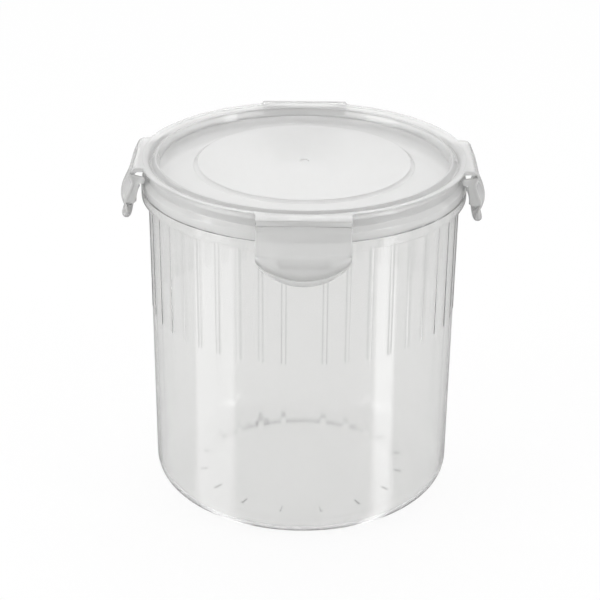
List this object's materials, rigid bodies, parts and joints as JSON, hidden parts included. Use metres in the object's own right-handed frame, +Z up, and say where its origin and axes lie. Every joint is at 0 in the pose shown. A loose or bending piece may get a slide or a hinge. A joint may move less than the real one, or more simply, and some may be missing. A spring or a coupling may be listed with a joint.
{
  "type": "food storage canister",
  "caption": "Round clear plastic storage canister with a recessed lid, a seal ring and hinged clip flaps that hang unlatched, with grip ribs down the upper wall",
  "frame": {"origin": "centre of the foot ring, on the surface the canister stands on", "axes": "+Z up along the canister's axis, -Y towards the front flap, +X to the right flap"},
  "size_m": [0.1494, 0.1498, 0.1454],
  "materials": {
    "clear_plastic": "clear polypropylene with a slight haze, glossy",
    "lid_plastic": "translucent polypropylene, satin to glossy",
    "seal_rubber": "soft matt silicone, milky"
  },
  "bodies": {
    "container": {"container": "clear_plastic"},
    "lid": {"lid": "lid_plastic", "seal_ring": "seal_rubber", "film_hinge_front": "lid_plastic", "film_hinge_right": "lid_plastic", "film_hinge_back": "lid_plastic", "film_hinge_left": "lid_plastic"},
    "flap_front": {"flap_front": "lid_plastic"},
    "flap_right": {"flap_right": "lid_plastic"},
    "flap_back": {"flap_back": "lid_plastic"},
    "flap_left": {"flap_left": "lid_plastic"}
  },
  "joints": [
    {"name": "lid_lift", "type": "slide", "parent": "container", "child": "lid", "axis": [0, 0, 1], "range_m": [0, 0.15]},
    {"name": "flap_front_hinge", "type": "hinge", "parent": "lid", "child": "flap_front", "pos_m": [0, -0.0696, 0.14317], "axis": [-1, 0, 0], "range_deg": [-13, 120], "stiffness_Nm_per_rad": 0.003},
    {"name": "flap_right_hinge", "type": "hinge", "parent": "lid", "child": "flap_right", "pos_m": [0.0696, 0, 0.14317], "axis": [0, -1, 0], "range_deg": [-10.5, 120], "stiffness_Nm_per_rad": 0.003},
    {"name": "flap_back_hinge", "type": "hinge", "parent": "lid", "child": "flap_back", "pos_m": [0, 0.0696, 0.14317], "axis": [1, 0, 0], "range_deg": [-13, 120], "stiffness_Nm_per_rad": 0.003},
    {"name": "flap_left_hinge", "type": "hinge", "parent": "lid", "child": "flap_left", "pos_m": [-0.0696, 0, 0.14317], "axis": [0, 1, 0], "range_deg": [-14, 120], "stiffness_Nm_per_rad": 0.003}
  ]
}
